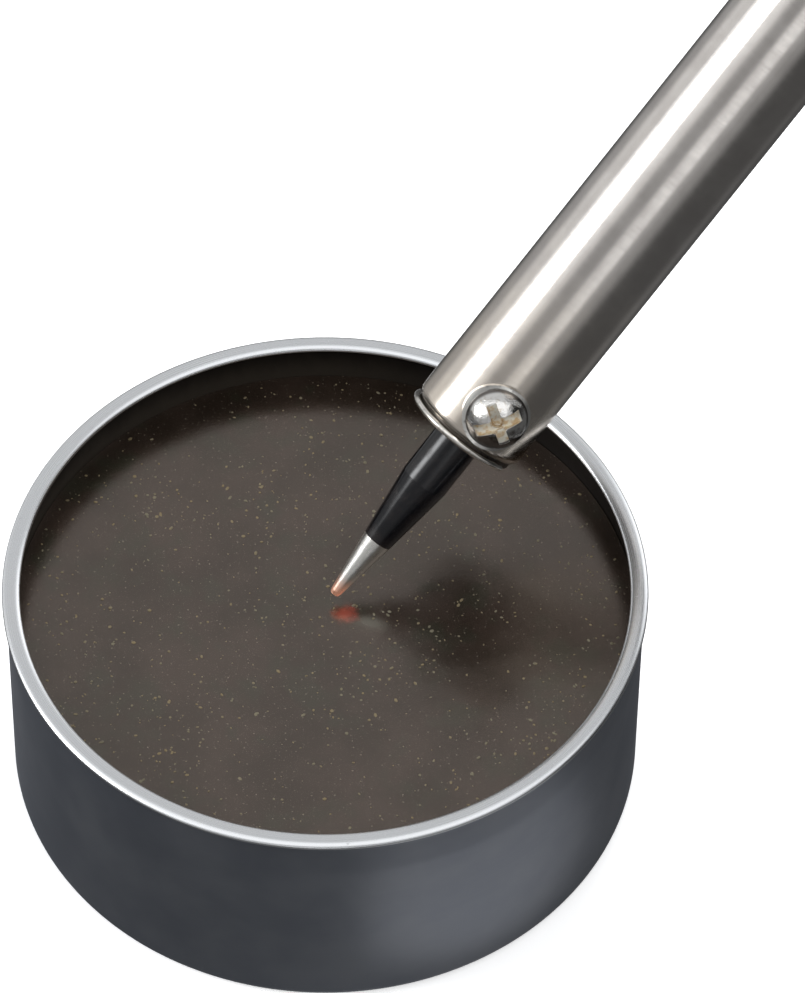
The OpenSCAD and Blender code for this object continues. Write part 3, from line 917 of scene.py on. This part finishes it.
def head_outline():
    """The shank's end, the shank, the underside of the head, its short side and its dome."""
    dome_z = SCREW_SEAT + HEAD_H - DOME_R
    side_z = dome_z + math.sqrt(DOME_R ** 2 - HEAD_R ** 2)
    shank = [(0, 2.0, 0), (SHANK_R, 2.0, 0.2), (SHANK_R, SCREW_SEAT, 0.05), (HEAD_R, SCREW_SEAT, 0.12),
             (HEAD_R, side_z, 0)]
    top_angle = math.degrees(math.atan2(side_z - dome_z, HEAD_R))
    dome = arc(0, dome_z, DOME_R, top_angle + 4, 90, 18)
    return rounded(shank, 5, closed=False) + [(max(r, 0.0), z) for r, z in dome[:-1]] + [(0, dome_z + DOME_R)]


def recess_cutter():
    """A long slot, a shorter cross bar and a centre cone, all deeper in the middle."""
    bm = bmesh.new()
    top = SCREW_SEAT + HEAD_H
    for turn, half_length, half_width, depth in ((0, 3.2, 0.42, 0.70), (math.pi / 2, 1.9, 0.48, 0.95)):
        bar = bmesh.ops.create_cube(bm, size=2)["verts"]
        shape = Matrix.Diagonal((half_length, half_width, depth, 1))
        place = Matrix.Rotation(turn, 4, "Z") @ Matrix.Translation((0, 0, top))
        bmesh.ops.transform(bm, matrix=Matrix.Scale(MM, 4) @ place @ shape, verts=bar)
    cone = bmesh.ops.create_cone(bm, cap_ends=True, segments=24, radius1=0.35, radius2=1.15, depth=2.4)
    place = Matrix.Scale(MM, 4) @ Matrix.Translation((0, 0, top - 0.1))
    bmesh.ops.transform(bm, matrix=place, verts=cone["verts"])
    bm.transform(SCREW @ Matrix.Rotation(RECESS_TURN, 4, "Z"))
    mesh = bpy.data.meshes.new("recess_cutter")
    bm.to_mesh(mesh)
    bm.free()
    return mesh


def make_screw():
    bm = spun(head_outline(), 72, closed=False)
    screw = finished(bm, "tip_screw_head", "screw", [bright_nickel(), worn_edge()], ["tip_screw"],
                     SCREW)
    cutter = bpy.data.objects.new("recess_cutter", recess_cutter())
    bpy.context.scene.collection.objects.link(cutter)
    cut = screw.modifiers.new("recess", "BOOLEAN")
    cut.object = cutter
    cut.solver = "EXACT"
    cut.use_self = True
    soften = screw.modifiers.new("soften", "BEVEL")
    soften.width = EDGE_BREAK * MM
    soften.material = 1
    soften.segments = 3
    soften.limit_method = "ANGLE"
    soften.angle_limit = SHARP_CUT
    graph = bpy.context.evaluated_depsgraph_get()
    shape = bpy.data.meshes.new_from_object(screw.evaluated_get(graph))
    screw.modifiers.clear()
    screw.data = shape
    bpy.data.objects.remove(cutter)
    shape.shade_smooth()
    shape.set_sharp_from_angle(angle=SHARP_CUT)
    print("screw after cutting:", len(shape.polygons), "faces")


make_screw()
finish_nodes(["screw_washer"], bright_steel("washer_nickel", (0.82, 0.80, 0.76), 0.08))

# %% [markdown]
# ## The handle
# The handle is a hollow moulding with a flared guard in front, a soft grip, and a cap where the cord goes
# in. Moulded plastic has a fine even texture from the etched mould, and rubber is duller. The handle gets
# shallow flutes behind the grip, pressed in by a formula after spinning, so that it does not look turned.

# %% Finishes of the handle


def moulded_plastic(name, dark, light, texture):
    """Etched moulded plastic: an even fine grain, gently polished where hands have been."""
    material, sheet = new_sheet(name)
    point = sheet.place()
    grain = sheet.noise(point, texture, 2, 0.55)
    wear = sheet.noise(point, 0.09, 3, 0.5)
    dust = sheet.noise(point, 0.9, 4, 0.65)
    colour = sheet.mix(dark, light, wear.step(0.4, 0.7))
    colour = sheet.mix(colour, (0.10, 0.10, 0.098), dust.step(0.62, 0.8) * 0.25)
    roughness = 0.46 + (grain - 0.5) * 0.12 - wear.step(0.45, 0.7) * 0.10
    normal = sheet.bump(grain, 0.018)
    sheet.surface(Base_Color=colour, Roughness=roughness, Normal=normal, IOR=1.5)
    return material


def soft_rubber():
    """Matt rubber with a powdery bloom and a finer grain."""
    material, sheet = new_sheet("soft_rubber")
    point = sheet.place()
    grain = sheet.noise(point, 7.0, 3, 0.6)
    bloom = sheet.noise(point, 0.25, 3, 0.6)
    colour = sheet.mix((0.016, 0.017, 0.019), (0.034, 0.035, 0.037), bloom.step(0.4, 0.7))
    normal = sheet.bump(grain, 0.012)
    sheet.surface(Base_Color=colour, Roughness=0.72 + (bloom - 0.5) * 0.2, Normal=normal, Sheen_Weight=0.25,
                  Sheen_Roughness=0.5)
    return material


handle_plastic = moulded_plastic("handle_plastic", (0.018, 0.020, 0.024), (0.030, 0.032, 0.037), 5.0)
guard_plastic = moulded_plastic("guard_plastic", (0.014, 0.015, 0.017), (0.024, 0.025, 0.028), 6.0)
rubber = soft_rubber()

# %% Guard, handle, grip and cap
HANDLE_START = 88.0
HANDLE_END = 168.0
GRIP_START = HANDLE_START + 12
GRIP_END = HANDLE_START + 52
CAP_END = 180.0
CAVITY_R = 6.2
BARREL_R = 4.95
GRIP_SEAT_R = 8.3
GRIP_RIBS = 10
LIP_R = 9.9
FLUTES = 12
FLUTES_FROM, FLUTES_TO = 143.5, 161.5
FLUTE_DEPTH = 0.45
INLET_R = 2.6


def make_guard():
    back = HANDLE_START + 3
    corners = [(BARREL_R + 0.05, 80, 0.3), (6.7, 80, 0.5), (7.3, 81.2, 1.5), (10.7, 85.6, 1.8),
               (11.4, 87.4, 0.8), (11.4, back, 0.6), (9.95, back, 0.3), (9.95, HANDLE_START - 0.02, 0),
               (8.8, HANDLE_START - 0.02, 0), (8.8, 84.3, 0.3), (BARREL_R + 0.05, 84.3, 0.1)]
    bm = spun(rounded(corners, 6), 160)
    return finished(bm, "guard_moulding", "iron", [guard_plastic], ["heat_guard"], IRON)


def flute_depth(angle, station):
    """Depth in mm of the shallow flutes behind the grip."""
    along = min(max((station - FLUTES_FROM) / 3, 0), 1) * min(max((FLUTES_TO - station) / 3, 0), 1)
    across = max(math.cos(FLUTES * angle), 0.0) ** 3
    return FLUTE_DEPTH * across * along * along * (3 - 2 * along)


def make_handle():
    rear = [(9.05, GRIP_END + 1.2, 0.5)] + [(9.05 - 0.95 * (step / 12) ** 1.3, GRIP_END + 1.2 + 2.2 * step, 0)
                                            for step in range(1, 12)]
    fine = [(8.1 - 0.1 * step / 4, HANDLE_END - 2 + 0.5 * step, 0) for step in range(0, 4)]
    corners = [(BARREL_R + 0.1, HANDLE_START, 0.2), (9.5, HANDLE_START, 0.3),
               (LIP_R, HANDLE_START + 0.5, 0.3), (LIP_R, HANDLE_START + 3.2, 0.6),
               (9.2, HANDLE_START + 6.2, 2.5), (9.0, GRIP_START - 1.0, 0.4),
               (8.9, GRIP_START, 0.2), (GRIP_SEAT_R, GRIP_START, 0.1), (GRIP_SEAT_R, GRIP_END, 0.1),
               (8.9, GRIP_END, 0.2)]
    corners += rear + fine + [(8.0, HANDLE_END, 0.3), (CAVITY_R, HANDLE_END, 0.2)]
    corners += [(CAVITY_R, HANDLE_START + 8, 0.5), (BARREL_R + 0.1, HANDLE_START + 8, 0.2)]
    bm = spun(rounded(corners, 4), 240)
    for vert in bm.verts:
        radius = vert.co.xy.length
        if radius > (CAVITY_R + 1) * MM:
            angle = math.atan2(vert.co.y, vert.co.x)
            vert.co.xy *= 1 - flute_depth(angle, vert.co.z / MM) * MM / radius
    return finished(bm, "handle_moulding", "iron", [handle_plastic], ["handle_shell"], IRON)


def make_grip():
    """A rubber sleeve with soft rounded ribs and a smooth lip at each end."""
    inner = GRIP_SEAT_R + 0.02
    start, end = GRIP_START + 0.05, GRIP_END - 0.05
    pitch = (end - start - 4) / GRIP_RIBS
    outline = [(inner, start)] + arc(8.9, start + 0.5, 0.5, -90, 0, 5)
    for rib in range(GRIP_RIBS):
        low = start + 2 + rib * pitch
        for step in range(12):
            share = step / 12
            bulge = math.sin(math.pi * min(share / 0.8, 1.0)) ** 0.5 if share < 0.8 else 0.0
            outline.append((8.95 + 0.43 * bulge, low + share * pitch))
    outline += [(8.95, end - 2), (9.35, end - 1.2)] + arc(8.9, end - 0.5, 0.5, 0, 90, 5) + [(inner, end)]
    bm = spun(outline, 200)
    return finished(bm, "grip_moulding", "iron", [rubber], ["grip_sleeve"], IRON, 45)


def make_cap():
    outer = [(8.0, HANDLE_END + 0.05, 0.3), (7.95, HANDLE_END + 3.5, 2), (7.4, HANDLE_END + 7.5, 3),
             (6.4, HANDLE_END + 10.8, 2), (5.4, CAP_END, 0.8)]
    inner = [(3.4, CAP_END, 0.2), (3.4, HANDLE_END - 8, 0.2), (CAVITY_R - 0.05, HANDLE_END - 8, 0.3),
             (CAVITY_R - 0.05, HANDLE_END + 0.05, 0.05)]
    bm = spun(rounded(outer + inner, 6), 160)
    return finished(bm, "cap_moulding", "iron", [handle_plastic], ["rear_cap"], IRON)


def make_bush():
    """The rubber bush of the cord inlet, with a rolled lip and a flared mouth."""
    corners = [(INLET_R, 170, 0.2), (3.38, 170, 0.2), (3.38, CAP_END + 0.02, 0.05),
               (4.6, CAP_END + 0.02, 0.4), (4.6, CAP_END + 1.5, 0.6), (INLET_R, CAP_END + 1.5, 0.35)]
    bm = spun(rounded(corners, 6), 96)
    return finished(bm, "inlet_bush", "iron", [rubber], ["cord_bush"], IRON)


make_guard()
make_handle()
make_grip()
make_cap()
make_bush()

# %% [markdown]
# ## The parts inside
# The heater, the leads and the terminals are hidden, apart from what shows through the vent holes, and they
# are already made as they would be machined. Each still gets the finish of its own material: wound wire,
# flaky mica, chalky ceramic, yellowish zinc plating, waxy nylon and brass.

# %% Finishes of the inner parts


def plain_metal(name, first, second, roughness, grain_scale):
    """Metal with a slow change of tone and a fine grain."""
    material, sheet = new_sheet(name)
    point = sheet.place()
    tone = sheet.noise(point, 0.8, 3, 0.6)
    grain = sheet.noise(point, grain_scale, 2, 0.5)
    colour = sheet.mix(first, second, tone.step(0.35, 0.65))
    normal = sheet.bump(grain, 0.004)
    sheet.surface(Base_Color=colour, Metallic=1.0, Roughness=roughness + (tone - 0.5) * 0.15, Normal=normal)
    return material


def dull_solid(name, first, second, roughness, grain_scale, depth):
    """Unplated material with patches of a second tone and a grain that can be felt."""
    material, sheet = new_sheet(name)
    point = sheet.place()
    patches = sheet.noise(point, 0.5, 4, 0.6)
    grain = sheet.noise(point, grain_scale, 3, 0.6)
    colour = sheet.mix(first, second, patches.step(0.4, 0.65))
    normal = sheet.bump(grain, depth)
    sheet.surface(Base_Color=colour, Roughness=roughness + (grain - 0.5) * 0.15, Normal=normal)
    return material


finish_nodes(["heater_tube"], plain_metal("heater_steel", (0.42, 0.38, 0.34), (0.25, 0.20, 0.17), 0.4, 4))
finish_nodes(["heating_coil", "lead_wires"],
             plain_metal("resistance_wire", (0.40, 0.38, 0.36), (0.28, 0.25, 0.23), 0.35, 12))
finish_nodes(["mounting_flange", "flange_screws", "cap_screw", "clamp_screws"],
             plain_metal("zinc_plating", (0.72, 0.73, 0.74), (0.66, 0.64, 0.56), 0.22, 8))
finish_nodes(["terminal_screws"],
             plain_metal("terminal_brass", (0.80, 0.60, 0.30), (0.62, 0.44, 0.20), 0.25, 8))
finish_nodes(["mica_wrap"], dull_solid("flaky_mica", (0.50, 0.38, 0.22), (0.62, 0.50, 0.33), 0.35, 3, 0.02))
finish_nodes(["ceramic_sleeve", "rear_disc", "lead_beads"],
             dull_solid("chalky_ceramic", (0.84, 0.81, 0.74), (0.76, 0.70, 0.60), 0.7, 7, 0.01))
finish_nodes(["terminal_block", "cord_clamp"],
             dull_solid("waxy_nylon", (0.78, 0.75, 0.66), (0.72, 0.68, 0.58), 0.45, 5, 0.008))
